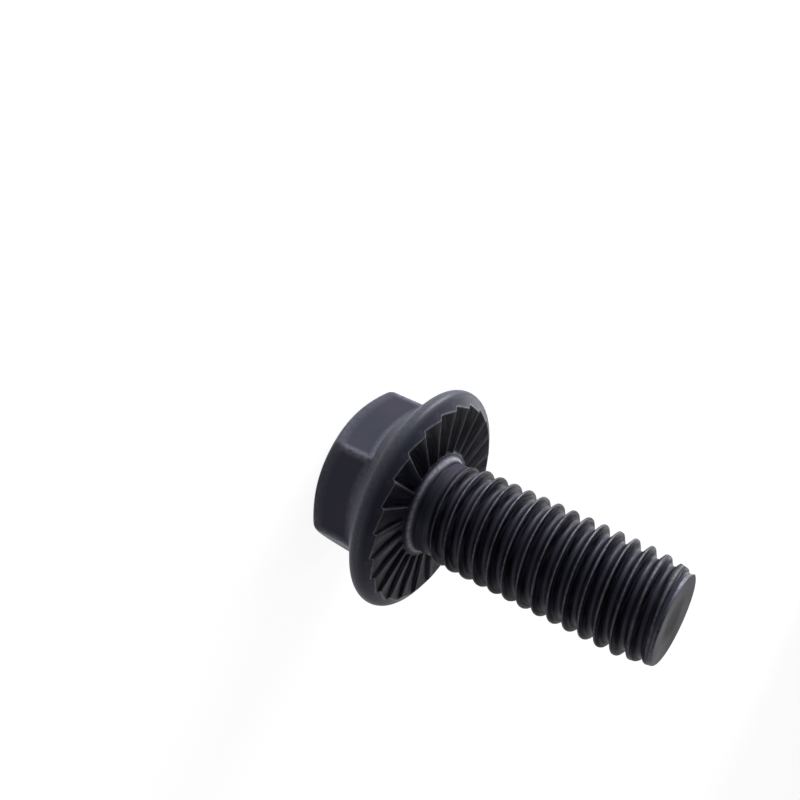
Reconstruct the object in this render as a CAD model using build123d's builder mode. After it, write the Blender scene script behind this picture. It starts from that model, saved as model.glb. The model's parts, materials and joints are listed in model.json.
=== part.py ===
# Hexagon flange bolt with a serrated bearing face, M10 x 1.5.
# One cold-headed and thread-rolled piece of steel, drawn standing on its head.
#
# Origin: centre of the flat on top of the head, on z = 0.
# +Z runs along the shank to the threaded end, +X through a corner of the hexagon.

import os
from math import cos, radians, sin, tan

from build123d import *

# Hexagon head
across_flats = 14.9
corner_radius = 0.5
head_top_d = 14.4  # flat left inside the top chamfer
top_chamfer = 30  # degrees, from the top flat
trimmed_edge = 1.2  # radius that the chamfer leaves on the hexagon's corners

# Flange: a sloped back that runs into a fully rounded rim
flange_d = 21.9
rim_radius = 0.93
back_slope = 38  # degrees, from the bearing plane
rim_top_z = 8.33  # where the round of the rim would end on its own
bearing_z = 8.7  # tips of the serrations, the plane that clamps

# Serrations: ramps that fall towards the next steep face, which resists loosening
serrations = 24
serration_inner_d = 10.9
roof_slope = 30  # degrees, outer ends of the ridges, tangent to the rim
valley_z = 8.37
land_angle = 1.8  # degrees of each 15 degree pitch that stay flat
steep_angle = 1.4
first_ridge = 6.3  # degrees from +X to one steep face

# Shank
total_length = 32.9
neck_d = 9.0  # blank diameter before rolling
neck_fillet = 0.7

# Rolled thread, right hand
major_d = 9.85
root_d = 8.2
pitch = 1.5
crest_width = pitch / 8
run_out_z = 10.3  # where the first crest leaves the neck
full_form_z = 11.2
thread_phase = 99.4  # degrees from +X to the start of the groove

# Rolled end: the last crest is not filled, and the face is slightly dished
end_d = 8.7
end_taper = 2.0
end_edge = 0.3
dish_d = 7.4
dish_depth = 0.12

flank = tan(radians(30))
rim_centre_r = flange_d / 2 - rim_radius
rim_centre_z = rim_top_z - rim_radius
back_tangent = (
    rim_centre_r + rim_radius * sin(radians(back_slope)),
    rim_centre_z - rim_radius * cos(radians(back_slope)),
)
roof_foot = (
    rim_centre_r + rim_radius * sin(radians(roof_slope)),
    rim_centre_z + rim_radius * cos(radians(roof_slope)),
)
ridge_outer_r = roof_foot[0] - (bearing_z - roof_foot[1]) / tan(radians(roof_slope))
back_inner_r = 6.0
back_inner_z = back_tangent[1] - (back_tangent[0] - back_inner_r) * tan(radians(back_slope))

# Head: hexagon with rounded edges, its top corners turned off to a shallow cone
corner_r = (across_flats / 2 - corner_radius) / cos(radians(30)) + corner_radius
with BuildPart() as head:
    with BuildSketch():
        RegularPolygon(across_flats / 2, 6, major_radius=False)
        fillet(vertices(), corner_radius)
    extrude(amount=rim_centre_z)
    with BuildSketch(Plane.XZ):
        with BuildLine():
            chamfer_top_z = (corner_r - head_top_d / 2) * tan(radians(top_chamfer))
            FilletPolyline(
                (head_top_d / 2, 0),
                (corner_r, chamfer_top_z),
                (corner_r, rim_centre_z),
                radius=trimmed_edge,
            )
            Polyline((corner_r, rim_centre_z), (0, rim_centre_z), (0, 0), (head_top_d / 2, 0))
        make_face()
    revolve(axis=Axis.Z, mode=Mode.INTERSECT)

# Flange, bearing ring, plain neck and thread blank, turned in one profile
with BuildPart() as blank:
    with BuildSketch(Plane.XZ):
        with BuildLine():
            Line((0, back_inner_z), (back_inner_r, back_inner_z))
            Line((back_inner_r, back_inner_z), back_tangent)
            CenterArc(
                (rim_centre_r, rim_centre_z), rim_radius, back_slope - 90, 180 - back_slope - roof_slope
            )
            Polyline(
                roof_foot,
                (ridge_outer_r, bearing_z),
                (neck_d / 2 + neck_fillet, bearing_z),
            )
            RadiusArc(
                (neck_d / 2 + neck_fillet, bearing_z),
                (neck_d / 2, bearing_z + neck_fillet),
                neck_fillet,
            )
            Polyline(
                (neck_d / 2, bearing_z + neck_fillet),
                (neck_d / 2, run_out_z),
                (major_d / 2, full_form_z),
                (major_d / 2, total_length - end_taper),
                (end_d / 2, total_length - end_edge),
            )
            CenterArc((end_d / 2 - end_edge, total_length - end_edge), end_edge, 0, 90)
            Polyline(
                (end_d / 2 - end_edge, total_length),
                (0, total_length),
                (0, back_inner_z),
            )
        make_face()
    revolve(axis=Axis.Z)

# One groove between two serrations, as wide in degrees at every radius
with BuildPart() as groove:
    ramp_angle = 360 / serrations - land_angle - steep_angle
    overcut = 1.2
    for radius in (serration_inner_d / 2, roof_foot[0] + 0.2):
        top = valley_z + overcut * (bearing_z - valley_z)
        with BuildSketch(Plane.YZ.offset(radius)):
            with BuildLine():
                Polyline(
                    (0, valley_z),
                    (radius * tan(radians(steep_angle * overcut)), top),
                    (-radius * tan(radians(ramp_angle * overcut)), top),
                    close=True,
                )
            make_face()
    loft(ruled=True)

# Thread: helical grooves, one length after the other up through the end face
groove_z = run_out_z + 0.3
lengths = (7, 6, 3)  # turns
start_z = [groove_z + pitch * sum(lengths[:i]) for i in range(len(lengths))]
outside_r = major_d / 2 + 0.1
root_width = pitch - crest_width - (major_d - root_d) * flank
outside_width = root_width + 2 * (outside_r - root_d / 2) * flank
cuts = []
for z, turns in zip(start_z, lengths):
    with BuildPart() as thread_cut:
        with BuildLine(Plane.XY.offset(z)):
            Helix(pitch, pitch * turns, root_d / 2)
        with BuildSketch(Plane.XZ):
            with BuildLine():
                Polyline(
                    (root_d / 2, z - root_width / 2),
                    (outside_r, z - outside_width / 2),
                    (outside_r, z + outside_width / 2),
                    (root_d / 2, z + root_width / 2),
                    close=True,
                )
            make_face()
        sweep(is_frenet=True)
    cuts.append(thread_cut.part)

with BuildPart() as flange_bolt:
    add(blank.part)
    for thread_cut in cuts:
        add(thread_cut, rotation=(0, 0, thread_phase), mode=Mode.SUBTRACT)
    add(head.part)
    with PolarLocations(0, serrations, start_angle=first_ridge - steep_angle):
        add(groove.part, mode=Mode.SUBTRACT)
    # Shallow dish in the end face
    dish_r = ((dish_d / 2) ** 2 + dish_depth**2) / (2 * dish_depth)
    with Locations((0, 0, total_length + dish_r - dish_depth)):
        Sphere(dish_r, mode=Mode.SUBTRACT)

flange_bolt.part.label = "FLANGE_BOLT"

os.makedirs("parts", exist_ok=True)
export_step(flange_bolt.part, "parts/FLANGE_BOLT.step")
print("volume", round(flange_bolt.part.volume, 1), "solids", len(flange_bolt.part.solids()))
print("box", flange_bolt.part.bounding_box())
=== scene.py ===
# %% [markdown]
# # A serrated flange bolt
#
# The real bolt is one piece of steel wire. A press upsets its end into a hexagon with
# a broad flange, teeth are stamped into the face under the flange, and two dies roll
# the thread onto the shank. Last, a hot salt bath turns the steel blue-black.
#
# The script follows the same order: it turns a plain blank in mesh code, stamps the
# teeth and rolls the thread with Geometry Nodes, and then gives it the black finish.

# %% Load the frame
import json
import math

import bmesh
import bpy
import numpy as np
from mathutils import Matrix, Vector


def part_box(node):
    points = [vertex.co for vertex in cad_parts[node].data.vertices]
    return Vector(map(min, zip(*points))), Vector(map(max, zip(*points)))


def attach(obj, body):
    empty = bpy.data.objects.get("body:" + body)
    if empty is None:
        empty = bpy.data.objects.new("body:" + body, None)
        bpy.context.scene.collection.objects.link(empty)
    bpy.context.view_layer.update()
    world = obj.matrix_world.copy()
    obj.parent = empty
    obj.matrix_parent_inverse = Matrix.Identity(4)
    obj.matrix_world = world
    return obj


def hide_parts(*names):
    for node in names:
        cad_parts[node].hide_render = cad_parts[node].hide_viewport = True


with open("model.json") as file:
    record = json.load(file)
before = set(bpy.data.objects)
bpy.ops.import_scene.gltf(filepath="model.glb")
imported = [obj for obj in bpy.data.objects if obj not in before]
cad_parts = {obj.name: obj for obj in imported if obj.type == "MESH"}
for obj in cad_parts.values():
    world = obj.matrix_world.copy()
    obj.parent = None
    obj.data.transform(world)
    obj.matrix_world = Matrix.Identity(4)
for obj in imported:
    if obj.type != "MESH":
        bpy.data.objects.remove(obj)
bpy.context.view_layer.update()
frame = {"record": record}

# %% [markdown]
# ## Sizes
#
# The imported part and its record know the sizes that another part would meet: how long
# and how wide the bolt is, where the teeth clamp, and how thick the thread is. Those are
# read from them. The others are a toolmaker's sizes, written here once, in metres.

# %% Sizes of the bolt
MM = 0.001
low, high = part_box("FLANGE_BOLT")
mounts = {mount["name"]: mount for mount in frame["record"]["mounts"]}

flange_r = (high[0] - low[0]) / 2
end_z = high[2]
tooth_top_z = mounts["bearing_face"]["pos_m"][2]
crest_r = mounts["thread"]["dims"]["r_mm"] * MM

across_flats = 14.9 * MM
corner_radius = 0.5 * MM
head_top_r = 7.2 * MM
top_chamfer = math.radians(30)
flat_trim, corner_trim = 0.12 * MM, 1.2 * MM  # edge radii that the chamfer leaves
forged_edge = 0.25 * MM
back_slope = math.radians(38)
rim_radius = 0.93 * MM
rim_top_z = 8.33 * MM

teeth = 24
tooth_depth = 0.33 * MM
roof_slope = math.radians(30)
tooth_inner_r = 5.45 * MM
steep_angle = math.radians(1.4)
land_angle = math.radians(1.8)
first_foot = math.radians(4.9)  # from +X to the foot of one steep face
tooth_rounding = 0.04 * MM

neck_r = 4.5 * MM
neck_fillet = 0.7 * MM
pitch = 1.5 * MM
root_r = 4.1 * MM
first_crest_z = 0.436 * MM  # height of the crest over +X, less whole pitches
thread_rounding = 0.05 * MM
roll_start_z = 10.2 * MM
full_form_z = 11.9 * MM  # the thread has its full depth from here
roll_end_z = 32.4 * MM  # the thread's cell moves it to the nearest ring
taper_z = 29.3 * MM  # the crests start to narrow here
end_r = 4.35 * MM
end_edge = 0.3 * MM
dish_r = 3.7 * MM
dish_depth = 0.12 * MM
weld_distance = 0.001 * MM
print("flange", round(flange_r / MM, 3), "crest", round(crest_r / MM, 3), "end", round(end_z / MM, 2), "mm")

# %% [markdown]
# ## The turned blank
#
# A turned piece can be drawn as rings, one above the other, each with the same number
# of points. A modifier such as Screw does that too, but here the rings of the head are
# not round: they follow a hexagon. So each ring is written as a radius and a height
# for every column, and the columns crowd together where the shape turns sharply.
#
# Each ring also carries four numbers from 0 to 1 that the next steps read: *press*, how
# much of the tooth stamp it takes, *roll*, what the thread dies do to it, a wear number,
# how much it is rubbed by tools and by other bolts in the box together with a painted
# highlight on edges and crests, and a black number, how densely black the bath could turn
# it where a die had pressed the steel together with painted shade on the neck, the
# thread's flanks and the teeth.

# %% Columns around the axis
columns = 288
per_tooth = columns // teeth
even_angle = 2 * math.pi * np.linspace(0, 1, columns + 1)
crowding = 0.6  # how far the columns of the head draw together at the hexagon's corners
corner_angle = even_angle - crowding * np.sin(6 * even_angle) / 6

# where the 12 columns of one tooth stand: close together on the step and on its land
tooth_steps = np.radians([0, 0.45, 0.95, 1.4, 1.95, 3.2, 4.1, 5.9, 8.3, 10.6, 12.8, 14.3])
tooth_pitch = 2 * math.pi / teeth
columns_before_foot = 3
column = np.arange(columns + 1) + per_tooth - columns_before_foot
tooth_angle = first_foot + (column // per_tooth - 1) * tooth_pitch + tooth_steps[column % per_tooth]
twist = np.degrees(np.abs(tooth_angle - even_angle).max())
print("columns", columns, "largest twist between rings", round(float(twist), 2), "degrees")

# %% Rounded corners in a ring profile
def lerp(a, b, t):
    return a + (b - a) * t


def rounded(before, corner, after, radius, steps):
    """Points of an arc that rounds a corner between two straight runs, as (r, z) pairs."""
    before, corner, after = (
        np.array([np.broadcast_to(part, columns + 1) for part in point]) for point in (before, corner, after)
    )
    to_before = (before - corner) / np.hypot(*(before - corner))
    to_after = (after - corner) / np.hypot(*(after - corner))
    half = np.arccos(np.clip((to_before * to_after).sum(axis=0), -1, 1)) / 2
    middle = to_before + to_after
    centre = corner + middle / np.hypot(*middle) * radius / np.sin(half)
    start = corner + to_before * radius / np.tan(half) - centre
    end = corner + to_after * radius / np.tan(half) - centre
    sweep = math.pi - 2 * half
    points = []
    for t in np.linspace(0, 1, steps):
        points.append(centre + (start * np.sin((1 - t) * sweep) + end * np.sin(t * sweep)) / np.sin(sweep))
    return points


def hexagon_radius(angle):
    """Distance from the axis to the side of the rounded hexagon, corner at angle 0."""
    sector = np.radians(60)
    from_corner = np.abs((angle + sector / 2) % sector - sector / 2)
    flat = across_flats / 2 / np.cos(sector / 2 - from_corner)
    arc_centre = (across_flats / 2 - corner_radius) / math.cos(sector / 2)
    arc = arc_centre * np.cos(from_corner) + np.sqrt(
        np.maximum(corner_radius**2 - (arc_centre * np.sin(from_corner)) ** 2, 0)
    )
    tangent = math.atan2(
        corner_radius * math.sin(sector / 2), arc_centre + corner_radius * math.cos(sector / 2)
    )
    return np.where(from_corner < tangent, arc, flat)


across_corners = 2 * float(hexagon_radius(0))
print("hexagon", across_flats / MM, "mm across flats,", round(across_corners / MM, 2), "mm across corners")


# %% [markdown]
# The head's profile is worked out once for every column: up the chamfer, along the
# side of the hexagon, and out on the sloped back of the flange. The corners between
# them get the small radii that a forged edge has, and the chamfer leaves a wider round
# on the hexagon's corners than along its flats.

# %% Rings of the hexagon head
rings = []
# wear on the head's edges, in a light grey that is also a painted highlight
wear_and_highlight_on = {"chamfer": 0.3, "corners": 0.6, "junction": 0.35, "back": 0.45, "end": 0.4}


def add_ring(radius, height, angle=even_angle, press=0.0, roll=0.0, rub=0.0, burnish=0.0):
    """Keeps one ring. Each value is one number for the ring or one for every column."""
    parts = (radius, height, angle, press, roll, rub, burnish)
    rings.append(np.array([np.broadcast_to(part, columns + 1) for part in parts], float))


rim_centre = (flange_r - rim_radius, rim_top_z - rim_radius)
back_edge = (
    rim_centre[0] + rim_radius * math.sin(back_slope),
    rim_centre[1] - rim_radius * math.cos(back_slope),
)
side = hexagon_radius(corner_angle)
side_share = (side - side.min()) / (side.max() - side.min())
# the corners are rubbed, and carry a painted highlight, over the last fifth of the way out
corner_wear_and_highlight = np.clip((side_share - 0.8) / 0.2, 0, 1) * wear_and_highlight_on["corners"]

trimmed_edge = lerp(flat_trim, corner_trim, side_share)
chamfer_z = (side - head_top_r) * math.tan(top_chamfer)
junction_z = back_edge[1] - (back_edge[0] - side) * math.tan(back_slope)

for share in (0, 0.3, 0.6, 0.85):
    add_ring(head_top_r * share, 0, corner_angle)
for r, z in rounded((0, 0), (head_top_r, 0), (side, chamfer_z), forged_edge, 4):
    add_ring(r, z, corner_angle)
for r, z in rounded((head_top_r, 0), (side, chamfer_z), (side, junction_z), trimmed_edge, 7):
    add_ring(r, z, corner_angle, rub=wear_and_highlight_on["chamfer"])
for share in (0.3, 0.5, 0.7, 0.85):
    add_ring(side, lerp(chamfer_z, junction_z, share), corner_angle, rub=corner_wear_and_highlight)
for r, z in rounded((side, chamfer_z), (side, junction_z), back_edge, forged_edge, 5):
    add_ring(r, z, corner_angle, rub=wear_and_highlight_on["junction"])
print("head rings", len(rings))

# %% Rings of the flange
back_steps = 6
back_start = side + 0.2 * MM
for step in range(1, back_steps):
    share = step / back_steps
    r = lerp(back_start, back_edge[0], share)
    z = back_edge[1] - (back_edge[0] - r) * math.tan(back_slope)
    add_ring(r, z, lerp(corner_angle, even_angle, share), rub=wear_and_highlight_on["back"])

# the wear and painted highlight fade out before the round of the rim reaches the teeth
rim_steps = 18
rim_fade = 0.6
for step in range(rim_steps + 1):
    share = step / rim_steps
    a = lerp(back_slope - math.pi / 2, math.pi / 2 - roof_slope, share)
    r, z = rim_centre[0] + rim_radius * math.cos(a), rim_centre[1] + rim_radius * math.sin(a)
    add_ring(r, z, lerp(even_angle, tooth_angle, share), rub=max(0, wear_and_highlight_on["back"] - rim_fade * share))
print("rings up to the rim", len(rings))

# %% [markdown]
# No wall closes the teeth off outside. Their outer ends slope down like little roofs
# until they meet the round of the rim, so the ring of tips looks scalloped. The blank
# has that roof all the way round, and the stamp below only ever lowers it. The stamp
# goes less deep at the outer ends, and it fades out where the neck begins.

# %% Rings of the toothed face
roof_foot_r = rim_centre[0] + rim_radius * math.sin(roof_slope)
roof_foot_z = rim_centre[1] + rim_radius * math.cos(roof_slope)
ridge_outer_r = roof_foot_r - (tooth_top_z - roof_foot_z) / math.tan(roof_slope)
roof_steps = 14
outer_press = 0.6
for step in range(1, roof_steps):
    share = step / roof_steps
    r, z = lerp(roof_foot_r, ridge_outer_r, share), lerp(roof_foot_z, tooth_top_z, share)
    add_ring(r, z, tooth_angle, press=outer_press)
for share in (0, 0.015, 0.04, 0.1, 0.22, 0.4, 0.6, 0.8, 0.93):
    press = min(1, outer_press + share)
    add_ring(lerp(ridge_outer_r, tooth_inner_r, share), tooth_top_z, tooth_angle, press=press)
fade = 0.3 * MM
for share in (0, 0.25, 0.5, 0.75, 0.95):
    press = 0.5 + 0.5 * math.cos(math.pi * share)
    add_ring(tooth_inner_r - fade * share, tooth_top_z, tooth_angle, press=press)
print("ridges end at radius", round(ridge_outer_r / MM, 2), "mm; rings", len(rings))

# %% [markdown]
# The thread rings are special. A screw thread climbs one pitch in every turn, so the
# rings have to climb with it, or the crests would cut across them and look ragged.
# They are laid flat here, one pitch further down than needed, and the rolling step
# tilts them into a helix and trims what sticks out at the neck and at the end. Their
# *roll* is 1. The rings round the end have 0.5: the dies reach them, but they stay level.

# %% Rings of the neck, the thread and the end face
neck_steps = 10
# painted shadow on the plain neck under the flange, and the least black the thread gets
shank_burnish_and_shade = 0.45
# the fillet under the head: a painted highlight line in its middle, painted shade at its ends
for step in range(neck_steps + 1):
    a = math.pi / 2 * step / neck_steps
    midway = math.sin(2 * a)  # 0 at both ends of the fillet, 1 halfway
    add_ring(
        neck_r + neck_fillet * (1 - math.sin(a)),
        tooth_top_z + neck_fillet * (1 - math.cos(a)),
        lerp(tooth_angle, even_angle, step / neck_steps),
        rub=midway**5,
        burnish=0.9 - 0.6 * midway,
    )
for share in (0.25, 0.5, 0.75):
    add_ring(neck_r, lerp(tooth_top_z + neck_fillet, roll_start_z, share), burnish=shank_burnish_and_shade)

# the thread
climbs, stays_level = 1, 0.5
per_pitch = 14
ring_step = pitch / per_pitch
ring_count = round((roll_end_z - roll_start_z) / ring_step) + per_pitch
roll_end_z = roll_start_z + (ring_count - per_pitch) * ring_step
for step in range(ring_count + 1):
    add_ring(crest_r, roll_start_z - pitch + step * ring_step, roll=climbs)

# the round edge of the end, and the dish in its face, which is blackest in the middle
straight_end_z = end_z - end_edge
taper_slope = (crest_r - end_r) / (straight_end_z - taper_z)
for share in (0.5, 1):
    z = lerp(roll_end_z, straight_end_z, share)
    add_ring(end_r + (straight_end_z - z) * taper_slope, z, roll=stays_level)
edge_steps = 7
for step in range(1, edge_steps + 1):
    a = math.pi / 2 * step / edge_steps
    r, z = end_r - end_edge * (1 - math.cos(a)), straight_end_z + end_edge * math.sin(a)
    add_ring(r, z, roll=stays_level, rub=wear_and_highlight_on["end"])
black_share = 0.6
for share in (1.08, 1, 0.85, 0.65, 0.4, 0.2, 0):
    z = end_z - dish_depth * max(0, 1 - share**2)
    add_ring(dish_r * share, z, burnish=1 if share < black_share else 0)
print("all rings", len(rings), "quads", (len(rings) - 1) * columns)

# %% [markdown]
# The rings become one sheet of quads. Its two long edges meet at angle 0 but aren't
# joined yet, because the thread has to be able to slide one pitch between them. Each
# point keeps its angle and its four numbers as attributes, for the node trees and for
# the finish.

# %% Blank mesh from the rings
def blank_mesh():
    """One sheet of quads over all the rings, with each point's numbers as attributes."""
    r, z, angle, press, roll, rub, burnish = np.array(rings).transpose(1, 0, 2)
    points = np.stack([r * np.cos(angle), r * np.sin(angle), z], axis=-1).reshape(-1, 3)
    across = columns + 1
    first = (np.arange(len(rings) - 1)[:, None] * across + np.arange(columns)).ravel()
    quads = np.stack([first, first + 1, first + across + 1, first + across], axis=1)
    mesh = bpy.data.meshes.new("flange_bolt")
    mesh.from_pydata(points.tolist(), [], quads.tolist())
    kept = {"angle": angle, "press": press, "roll": roll, "rub": rub, "burnish": burnish}
    for name, values in kept.items():
        mesh.attributes.new(name, "FLOAT", "POINT").data.foreach_set("value", values.ravel())
    return mesh


bolt = bpy.data.objects.new("flange_bolt", blank_mesh())
bpy.context.scene.collection.objects.link(bolt)
print("blank points", len(bolt.data.vertices))

# %% [markdown]
# ## Small helpers for node trees
#
# A node tree written as code is easiest to read when one line makes one node. The
# first helper below adds a node, sets its properties, fills or links its inputs, and
# gives back one output, so that the next line can use it in a formula. The other three
# open a geometry tree, close it, and put it on an object.

# %% Node helpers
def add(tree, kind, *inputs, out=0, **settings):
    """Adds a node and gives back its output `out`. Inputs left as None keep their value."""
    node = tree.nodes.new(kind)
    named = settings.pop("named", {})
    for key, value in settings.items():
        setattr(node, key, value)
    for key, value in [*enumerate(inputs), *named.items()]:
        if isinstance(value, bpy.types.NodeSocket):
            tree.links.new(value, node.inputs[key])
        elif value is not None:
            node.inputs[key].default_value = value
    return node.outputs[out] if node.outputs else node


def new_tree(name, sizes):
    """An empty geometry tree with a mesh input, one named input per size, and an output."""
    tree = bpy.data.node_groups.new(name, "GeometryNodeTree")
    tree.interface.new_socket("Geometry", in_out="INPUT", socket_type="NodeSocketGeometry")
    tree.interface.new_socket("Geometry", in_out="OUTPUT", socket_type="NodeSocketGeometry")
    tree.interface.new_socket("Material", in_out="INPUT", socket_type="NodeSocketMaterial")
    for size in sizes:
        tree.interface.new_socket(size, in_out="INPUT", socket_type="NodeSocketFloat")
    group_input = tree.nodes.new("NodeGroupInput")
    return tree, {socket.name: socket for socket in group_input.outputs}


def close_tree(tree, geometry, material):
    """Ends the tree with its geometry made real and given the material."""
    realised = add(tree, "GeometryNodeRealizeInstances", geometry)
    painted = add(tree, "GeometryNodeSetMaterial", realised, None, material)
    tree.links.new(painted, tree.nodes.new("NodeGroupOutput").inputs[0])


def run_tree(obj, tree, values):
    """Adds the tree as a modifier and sets its inputs by their identifiers."""
    modifier = obj.modifiers.new(tree.name, "NODES")
    modifier.node_group = tree
    for item in tree.interface.items_tree:
        if item.in_out == "INPUT" and item.name in values:
            modifier[item.identifier] = values[item.name]


# %% [markdown]
# ## Stamping the teeth
#
# All the teeth are alike: a short steep step up, a narrow flat land, and a long ramp
# down to the next step. Instances of one tooth would need their edges welded, so here
# the height of the face is a formula of the angle instead, and it repeats by itself.

# %% Geometry Nodes: the tooth stamp
MATH = "ShaderNodeMath"
RANGE = "ShaderNodeMapRange"
READ = "GeometryNodeInputNamedAttribute"
STORE = "GeometryNodeStoreNamedAttribute"
# the stamp's black is die burnish and painted shade; the ridges' grey is wear and a painted highlight
stamp_burnish_and_shade = 0.8
ridge_wear_and_highlight = 0.08
crease_inset = 0.02 * MM
crease_width = 0.06 * MM


def tooth_tree():
    tree, given = new_tree(
        "Stamp teeth",
        ["Tooth pitch", "First foot", "Step angle", "Land angle", "Tooth top", "Depth", "Edge rounding"],
    )
    angle = add(tree, READ, "angle", data_type="FLOAT")
    press = add(tree, READ, "press", data_type="FLOAT")
    from_first = add(tree, MATH, angle, given["First foot"], operation="SUBTRACT")
    along = add(tree, MATH, from_first, given["Tooth pitch"], 0.0, operation="WRAP")
    ramp_start = add(tree, MATH, given["Step angle"], given["Land angle"], operation="ADD")
    rise = add(tree, RANGE, along, 0.0, given["Step angle"], -1.0, 0.0, interpolation_type="SMOOTHSTEP")
    fall = add(tree, RANGE, along, ramp_start, given["Tooth pitch"], 0.0, -1.0)
    height = add(tree, MATH, rise, fall, operation="MINIMUM")
    drop = add(tree, MATH, height, given["Depth"], operation="MULTIPLY")
    pressed = add(tree, MATH, drop, press, operation="MULTIPLY")
    stamp = add(tree, MATH, given["Tooth top"], pressed, operation="ADD")
    split = add(tree, "ShaderNodeSeparateXYZ", add(tree, "GeometryNodeInputPosition")).node
    x, y, z = split.outputs
    lowered = add(tree, MATH, z, stamp, given["Edge rounding"], operation="SMOOTH_MIN")
    touched = add(tree, MATH, press, 0.0, operation="GREATER_THAN")

    # the die burnishes what it touches, less towards the rim, and its black also paints shade on
    # the teeth; later the crease on the roof is rubbed, and the ridges a little, and both
    # carry a painted highlight
    above = add(tree, MATH, z, stamp, operation="SUBTRACT")
    pressed_in = add(tree, RANGE, above, -crease_width, 0.01 * MM, 0.0, stamp_burnish_and_shade)
    above_inset = add(tree, MATH, above, crease_inset, operation="ADD")
    off_crease = add(tree, MATH, above_inset, operation="ABSOLUTE")
    crease = add(tree, RANGE, off_crease, crease_inset, crease_width, 1.0, 0.0)
    roof_drop = add(tree, MATH, given["Tooth top"], z, operation="SUBTRACT")
    on_roof = add(tree, RANGE, roof_drop, 0.0, 0.03 * MM, 0.0, 1.0)
    roof_crease_highlight = add(tree, MATH, crease, on_roof, operation="MULTIPLY")
    inward = add(tree, RANGE, roof_drop, 0.0, given["Depth"], 1.0, 0.4)
    burnish = add(tree, MATH, pressed_in, inward, operation="MULTIPLY")
    ridge = add(tree, RANGE, height, -0.12, 0.0, 0.0, ridge_wear_and_highlight)
    rub = add(tree, MATH, roof_crease_highlight, ridge, operation="MAXIMUM")
    kept = add(tree, STORE, given["Geometry"], touched, "rub", rub, data_type="FLOAT")
    kept = add(tree, STORE, kept, touched, "burnish", burnish, data_type="FLOAT")
    place = add(tree, "ShaderNodeCombineXYZ", x, y, lowered)
    stamped = add(tree, "GeometryNodeSetPosition", kept, touched, place)
    close_tree(tree, stamped, given["Material"])
    return tree


stamp_teeth = tooth_tree()
print("tooth tree nodes", len(stamp_teeth.nodes))

# %% [markdown]
# ## Rolling the thread
#
# Curve to Mesh could sweep a thread profile along a spiral, but such a ridge only sits
# on the shank and has to be cut at both ends. Rolling does what the real dies do: the
# metal of the blank itself sinks at the root and rises at the crest. Seen as a formula,
# the radius depends only on how far a point is from the nearest crest.
#
# SMOOTH_MIN and SMOOTH_MAX give the crest and the root the small radii of a rolled
# thread. The form fades in above the neck, and the cone at the end of the blank keeps
# the last crest from filling.

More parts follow.
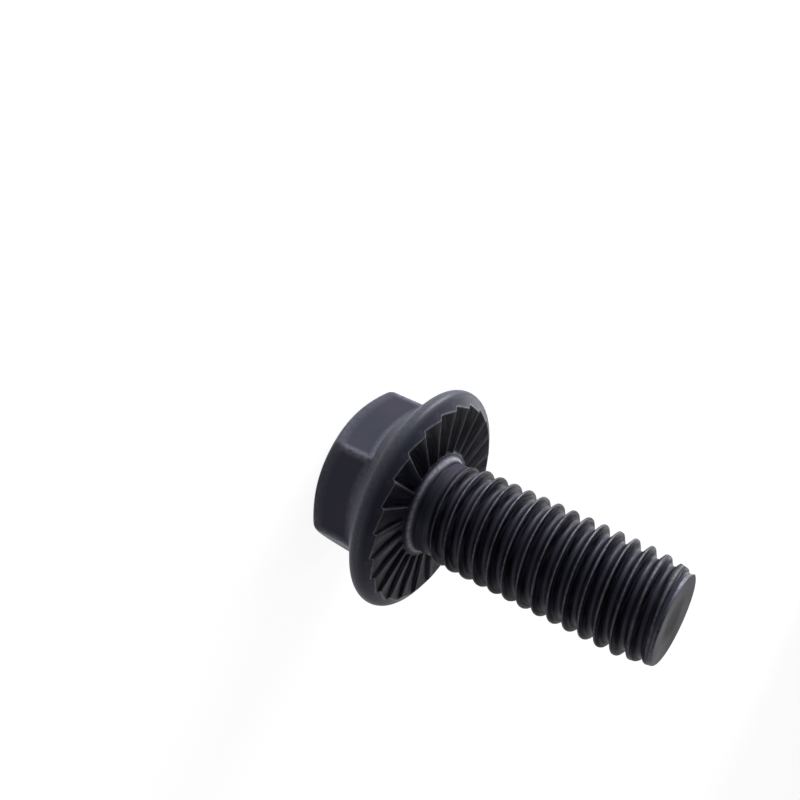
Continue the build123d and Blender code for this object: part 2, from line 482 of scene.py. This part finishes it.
# %% Geometry Nodes: the thread roll
def thread_tree():
    tree, given = new_tree(
        "Roll thread",
        ["Pitch", "Crest radius", "Root radius", "Neck radius", "First crest", "Roll start", "Full form"]
        + ["Roll end", "Taper start", "Taper end", "End radius", "Edge rounding", "Weld distance"],
    )
    angle = add(tree, READ, "angle", data_type="FLOAT")
    roll = add(tree, READ, "roll", data_type="FLOAT")
    on_helix = add(tree, MATH, roll, (climbs + stays_level) / 2, operation="GREATER_THAN")
    split = add(tree, "ShaderNodeSeparateXYZ", add(tree, "GeometryNodeInputPosition")).node
    x, y, z = split.outputs

    # climb one pitch for every turn, and trim at the neck and at the end
    turns = add(tree, MATH, angle, 2 * math.pi, operation="DIVIDE")
    climb = add(tree, MATH, turns, given["Pitch"], operation="MULTIPLY")
    climbed = add(tree, MATH, z, climb, operation="ADD")
    trimmed = add(tree, "ShaderNodeClamp", climbed, given["Roll start"], given["Roll end"])
    height = add(tree, "ShaderNodeMix", on_helix, None, z, trimmed, data_type="FLOAT")

    # distance along the axis from the nearest crest, a crest an eighth of the pitch wide, and
    # then the flank at 30 degrees
    unwound = add(tree, MATH, height, climb, operation="SUBTRACT")
    from_crest = add(tree, MATH, unwound, given["First crest"], operation="SUBTRACT")
    half_pitch = add(tree, MATH, given["Pitch"], 2.0, operation="DIVIDE")
    distance = add(tree, MATH, from_crest, half_pitch, operation="PINGPONG")
    crest_half = add(tree, MATH, given["Pitch"], 16.0, operation="DIVIDE")
    run = add(tree, MATH, distance, crest_half, operation="SUBTRACT")
    depth = add(tree, MATH, run, math.tan(math.radians(30)), operation="DIVIDE")
    flank = add(tree, MATH, given["Crest radius"], depth, operation="SUBTRACT")
    crested = add(tree, MATH, flank, given["Crest radius"], given["Edge rounding"], operation="SMOOTH_MIN")
    root_rounding = add(tree, MATH, given["Edge rounding"], 2.5, operation="MULTIPLY")
    full = add(tree, MATH, crested, given["Root radius"], root_rounding, operation="SMOOTH_MAX")
    formed = add(
        tree, RANGE, height, given["Roll start"], given["Full form"], 0.0, 1.0,
        interpolation_type="SMOOTHSTEP",
    )
    rolled = add(tree, "ShaderNodeMix", formed, None, given["Neck radius"], full, data_type="FLOAT")

    # the blank's own outside limits the crest near the end
    outward = add(tree, "ShaderNodeCombineXYZ", x, y, 0.0)
    blank_radius = add(tree, "ShaderNodeVectorMath", outward, operation="LENGTH", out="Value")
    loose = add(tree, MATH, given["Crest radius"], given["Edge rounding"], operation="ADD")
    taper = add(tree, RANGE, height, given["Taper start"], given["Taper end"], loose, given["End radius"])
    cap = add(tree, "ShaderNodeMix", on_helix, None, blank_radius, taper, data_type="FLOAT")
    radius = add(tree, MATH, rolled, cap, given["Edge rounding"], operation="SMOOTH_MIN")

    cosine = add(tree, MATH, add(tree, MATH, angle, operation="COSINE"), radius, operation="MULTIPLY")
    sine = add(tree, MATH, add(tree, MATH, angle, operation="SINE"), radius, operation="MULTIPLY")
    place = add(tree, "ShaderNodeCombineXYZ", cosine, sine, height)
    touched = add(tree, MATH, roll, stays_level / 2, operation="GREATER_THAN")

    # what the finish reads: rubbed crests with a painted highlight, burnished flanks with
    # painted shade, a less black root as a painted highlight, and streaks that run with the
    # thread; the wear and the black set in while the form is still fading in
    above_root = add(tree, MATH, full, given["Root radius"], operation="SUBTRACT")
    # a lighter root: the black eases there as a painted highlight
    off_root = add(tree, RANGE, above_root, 0.02 * MM, 0.09 * MM, 0.4, 1.0)
    begun = add(tree, MATH, formed, 3.0, operation="MULTIPLY", use_clamp=True)
    burnish = add(tree, MATH, off_root, begun, operation="MULTIPLY")
    at_least_neck = add(tree, MATH, burnish, shank_burnish_and_shade, operation="MAXIMUM")
    crest_wear_and_highlight = add(tree, RANGE, depth, -0.05 * MM, 0.02 * MM, 0.5, 0.0)
    rub = add(tree, MATH, crest_wear_and_highlight, begun, operation="MULTIPLY")
    along_turn = add(tree, MATH, x, height, operation="ADD")
    streak = add(tree, "ShaderNodeCombineXYZ", along_turn, y, distance)
    kept = add(tree, STORE, given["Geometry"], on_helix, "rub", rub, data_type="FLOAT")
    kept = add(tree, STORE, kept, on_helix, "burnish", at_least_neck, data_type="FLOAT")
    before_end = add(tree, MATH, height, given["Roll end"], operation="LESS_THAN")
    kept = add(tree, STORE, kept, before_end, "streak", streak, data_type="FLOAT_VECTOR")
    threaded = add(tree, "GeometryNodeSetPosition", kept, touched, place)
    welded = add(tree, "GeometryNodeMergeByDistance", threaded, None, given["Weld distance"])
    close_tree(tree, welded, given["Material"])
    return tree


roll_thread = thread_tree()
print("thread tree nodes", len(roll_thread.nodes))

# %% Run both trees and keep the result as a plain mesh
black_oxide = bpy.data.materials.new("black_oxide")
run_tree(
    bolt,
    stamp_teeth,
    {
        "Tooth pitch": tooth_pitch,
        "First foot": first_foot,
        "Step angle": steep_angle,
        "Land angle": land_angle,
        "Tooth top": tooth_top_z,
        "Depth": tooth_depth,
        "Edge rounding": tooth_rounding,
        "Material": black_oxide,
    },
)
run_tree(
    bolt,
    roll_thread,
    {
        "Pitch": pitch,
        "Crest radius": crest_r,
        "Root radius": root_r,
        "Neck radius": neck_r,
        "First crest": first_crest_z,
        "Roll start": roll_start_z,
        "Full form": full_form_z,
        "Roll end": roll_end_z,
        "Taper start": taper_z,
        "Taper end": straight_end_z,
        "End radius": end_r,
        "Edge rounding": thread_rounding,
        "Weld distance": weld_distance,
        "Material": black_oxide,
    },
)
evaluated = bolt.evaluated_get(bpy.context.evaluated_depsgraph_get())
finished = bpy.data.meshes.new_from_object(evaluated)
bolt.modifiers.clear()
bolt.data = finished
finished.shade_smooth()

check = bmesh.new()
check.from_mesh(finished)
open_edges = sum(not edge.is_manifold for edge in check.edges)
triangles = sum(len(face.verts) - 2 for face in check.faces)
volume = check.calc_volume(signed=True) / MM**3
print("open edges", open_edges, "triangles", triangles, "volume mm3", round(volume, 1))
check.free()

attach(bolt, "root")
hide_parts("FLANGE_BOLT")

# %% [markdown]
# ## Black oxide
#
# The black finish is not a paint. The hot salt bath turns the outer micron of the steel
# into magnetite, and a film of oil stays in it. It hides nothing: the dull grain of the
# forged head, the blacker faces that a die has pressed, the rubbed edges and every small
# dent show through it. One material does this for the whole bolt, and the wear and black
# numbers tell it where. They also carry painted light: the grey of the edges and crests is
# in part a painted highlight, and the black of the teeth, the neck and the flanks is in part
# painted shade. To the eye it is a dark satin that is nearly black on the teeth and on the
# thread, with a thin grey line along each edge.

# %% Finish
def linear(code):
    """sRGB hex colour to linear RGBA."""
    channels = [int(code[i : i + 2], 16) / 255 for i in (1, 3, 5)]
    return [c / 12.92 if c <= 0.04045 else ((c + 0.055) / 1.055) ** 2.4 for c in channels] + [1.0]


# a colour Mix has its factor at input 0, its colours at 6 and 7, and its result at output 2
MIX = "ShaderNodeMix"
COLOUR = {"data_type": "RGBA", "out": 2}
patch_size = 4 * MM
streak_length = 2.5 * MM
streak_width = 0.07 * MM
spot_size = 0.35 * MM
grain_size, grain_depth = 0.12 * MM, 0.005 * MM
dent_size, dent_depth = 1.1 * MM, 0.02 * MM


def paint_black_oxide(material):
    material.use_nodes = True
    tree = material.node_tree
    tree.nodes.clear()
    place = add(tree, "ShaderNodeTexCoord", out="Object")
    rub = add(tree, "ShaderNodeAttribute", attribute_name="rub", out="Fac")
    burnish = add(tree, "ShaderNodeAttribute", attribute_name="burnish", out="Fac")
    streak_place = add(tree, "ShaderNodeAttribute", attribute_name="streak", out="Vector")

    # colour: the bath leaves blue-black and violet-black patches a few millimetres wide
    patch = add(tree, "ShaderNodeTexNoise", place, None, 1 / patch_size, 2.0, 0.5)
    patch_share = add(tree, RANGE, patch, 0.35, 0.65)
    bath = add(tree, MIX, named={0: patch_share, 6: linear("#393c49"), 7: linear("#413e4d")}, **COLOUR)

    # where a die slid over it the steel is blacker, with fine streaks along the thread; the
    # same black is painted shade on the teeth, the neck and the thread's flanks
    per_streak = (1 / streak_length, 1 / streak_length, 1 / streak_width)
    stretched = add(tree, "ShaderNodeVectorMath", streak_place, per_streak, operation="MULTIPLY")
    streak = add(tree, "ShaderNodeTexNoise", stretched, None, 1.0, 3.0, 0.6)
    polish = add(tree, RANGE, streak, 0.42, 0.6, 1.0, 0.4)
    burnish_and_shade_share = add(tree, MATH, burnish, polish, operation="MULTIPLY")
    burnished_and_shaded_colour = add(tree, MIX, named={0: burnish_and_shade_share, 6: bath, 7: linear("#040409")}, **COLOUR)

    # rubbed edges let a little bare steel through, in broken spots; their light grey is
    # also a painted highlight on the edges and crests
    spots = add(tree, "ShaderNodeTexNoise", place, None, 1 / spot_size, 3.0, 0.6)
    broken = add(tree, RANGE, spots, 0.3, 0.6, 0.4, 1.0)
    wear_and_highlight_spots = add(tree, MATH, rub, broken, operation="MULTIPLY")
    colour = add(tree, MIX, named={0: wear_and_highlight_spots, 6: burnished_and_shaded_colour, 7: linear("#9293a0")}, **COLOUR)
    bare = add(tree, MATH, wear_and_highlight_spots, 0.3, operation="MULTIPLY")

    # the oil film varies the gloss; grain and dents are those of a forged surface
    oil = add(tree, RANGE, patch, 0.3, 0.7, 0.42, 0.52)
    mirror = add(tree, RANGE, burnish_and_shade_share, 0.0, 1.0, 0.13, 0.03)
    grain = add(tree, "ShaderNodeTexNoise", place, None, 1 / grain_size, 4.0, 0.6)
    dents = add(tree, "ShaderNodeTexNoise", place, None, 1 / dent_size, 2.0, 0.5)
    dented = add(tree, "ShaderNodeBump", 0.3, dent_depth, named={"Height": dents})
    bump = add(tree, "ShaderNodeBump", 0.25, grain_depth, named={"Height": grain, "Normal": dented})
    steel = add(
        tree,
        "ShaderNodeBsdfPrincipled",
        named={
            "Base Color": colour,
            "Metallic": bare,
            "Roughness": oil,
            "Specular IOR Level": mirror,
            "Normal": bump,
        },
    )
    add(tree, "ShaderNodeOutputMaterial", steel)


paint_black_oxide(black_oxide)
print("finish nodes", len(black_oxide.node_tree.nodes))

# %% [markdown]
# ## Studio
#
# A dark satin thing shows its surroundings nearly as much as its own colour, so the
# studio is kept plain: a pale floor, white walls under a dark ceiling, and three soft
# lamps that stand low and graze the bolt.

# %% Floor
floor_half_side = 3.0


def floor_mesh(half_side):
    mesh = bpy.data.meshes.new("floor")
    corners = [(x * half_side, y * half_side, 0) for x, y in ((-1, -1), (1, -1), (1, 1), (-1, 1))]
    mesh.from_pydata(corners, [], [(0, 1, 2, 3)])
    return mesh


floor = bpy.data.objects.new("floor", floor_mesh(floor_half_side))
bpy.context.scene.collection.objects.link(floor)


def background_share(tree):
    """1 for rays that show the background as white: camera, glossy and transmission rays."""
    path = tree.nodes.new("ShaderNodeLightPath")
    seen = add(tree, MATH, path.outputs["Is Camera Ray"], path.outputs["Is Glossy Ray"], operation="MAXIMUM")
    return add(tree, MATH, seen, path.outputs["Is Transmission Ray"], operation="MAXIMUM")


# white paper has no gloss, so the eye sees nothing on it but a soft shadow; the glow makes
# it white to look at and in reflections, and lights the bolt in no other way
paper = bpy.data.materials.new("white_paper")
paper.use_nodes = True
paper.node_tree.nodes.clear()
paper_white = add(paper.node_tree, "ShaderNodeBsdfDiffuse", linear("#c4c4c4"))
paper_lift = add(paper.node_tree, RANGE, background_share(paper.node_tree), 0.0, 1.0, 0.0, 0.9)
paper_glow = add(paper.node_tree, "ShaderNodeEmission", (1, 1, 1, 1), paper_lift)
paper_both = add(paper.node_tree, "ShaderNodeAddShader", paper_white, paper_glow)
add(paper.node_tree, "ShaderNodeOutputMaterial", paper_both)
floor.data.materials.append(paper)
print("floor side", 2 * floor_half_side, "m")

# %% World
world = bpy.data.worlds.new("studio")
bpy.context.scene.world = world
world.use_nodes = True
room = world.node_tree
room.nodes.clear()
towards = add(room, "ShaderNodeSeparateXYZ", add(room, "ShaderNodeTexCoord", out="Generated")).node

# rays that see the background find white walls, which darken from 35 degrees up to a
# nearly black ceiling at 55; all other rays find an even, dim light
wall_top, ceiling_edge = math.sin(math.radians(35)), math.sin(math.radians(55))
walls = add(room, RANGE, towards.outputs["Z"], wall_top, ceiling_edge, 1.0, 0.05)
room_strength = add(room, MIX, named={0: background_share(room), 2: 0.10, 3: walls}, data_type="FLOAT")
room_light = add(room, "ShaderNodeBackground", (1, 1, 1, 1), room_strength)
add(room, "ShaderNodeOutputWorld", room_light)
print("room nodes", len(room.nodes))


# %% Lamps
def soft_lamp(name, azimuth, elevation, width, height, brightness, distance=0.45):
    """A softbox that would show a white card at the bolt, turned to it, at this brightness."""
    lamp = bpy.data.lights.new(name, "AREA")
    lamp.shape = "RECTANGLE"
    lamp.size = width
    lamp.size_y = height
    lamp.energy = brightness * (math.pi * distance) ** 2
    a, e = math.radians(azimuth), math.radians(elevation)
    direction = np.array((math.cos(e) * math.cos(a), math.cos(e) * math.sin(a), math.sin(e)))
    across = np.array((-math.sin(a), math.cos(a), 0))
    turned = Matrix(np.array([across, np.cross(direction, across), direction]).T.tolist()).to_4x4()
    holder = bpy.data.objects.new(name, lamp)
    holder.matrix_world = Matrix.Translation(np.array((0, 0, end_z / 2)) + direction * distance) @ turned
    holder.visible_camera = False
    bpy.context.scene.collection.objects.link(holder)


# azimuth and elevation in degrees, width and height in metres, brightness
lamps = {
    "key": (-25, 1.5, 0.30, 0.04, 1.7),
    "low_fill": (134, 3, 0.20, 0.05, 0.12),
    "back_fill": (-80, 10, 0.20, 0.10, 0.15),
}
for name, values in lamps.items():
    soft_lamp(name, *values)
print("lamps", list(lamps))

# %% [markdown]
# The camera is rolled over, so that the bolt, which stands on its head, seems to lie on
# its side with the threaded end towards the eye. The three directions are those of the
# camera itself: to its right, up, and back from what it looks at.

# %% Camera
camera_data = bpy.data.cameras.new("camera")
camera_data.lens = 49.31
camera_data.sensor_width = 36
camera = bpy.data.objects.new("camera", camera_data)
bpy.context.scene.collection.objects.link(camera)
right = (0.25126, -0.52200, 0.81511)
up = (0.92734, -0.11148, -0.35725)
back = (0.27735, 0.84565, 0.45605)
turned = Matrix((right, up, back)).transposed().to_4x4()
camera_place = (0.03681, 0.08766, 0.04946)
camera.matrix_world = Matrix.Translation(camera_place) @ turned
camera_data.clip_start = 0.001
bpy.context.scene.camera = camera
bpy.context.scene.view_settings.view_transform = "Standard"
print("camera", round(math.dist(camera_place, (0, 0, end_z / 2)) / MM), "mm from the middle of the bolt")
